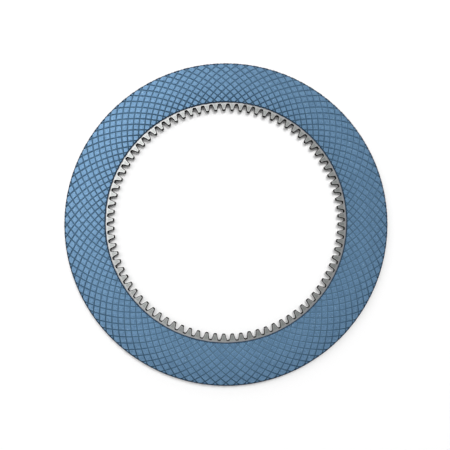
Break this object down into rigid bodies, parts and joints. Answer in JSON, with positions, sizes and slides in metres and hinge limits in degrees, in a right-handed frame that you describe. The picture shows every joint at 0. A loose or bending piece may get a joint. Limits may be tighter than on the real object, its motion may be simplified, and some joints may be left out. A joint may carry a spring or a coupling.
{
  "type": "clutch disc",
  "caption": "Wet clutch friction disc: flat steel ring with internal spline teeth and a blue cross-grooved friction lining bonded to each face.",
  "frame": {"origin": "centre of the splined hole, halfway through the thickness", "axes": "+Z along the disc's axis; the disc is the same on both faces, and it lies flat on its back lining"},
  "size_m": [0.298, 0.298, 0.006],
  "materials": {
    "steel": "ground, with deburred tooth edges",
    "friction_lining": "matt moulded friction material with fine flecks"
  },
  "bodies": {
    "root": {"core_plate": "steel", "front_lining": "friction_lining", "back_lining": "friction_lining"}
  },
  "joints": []
}
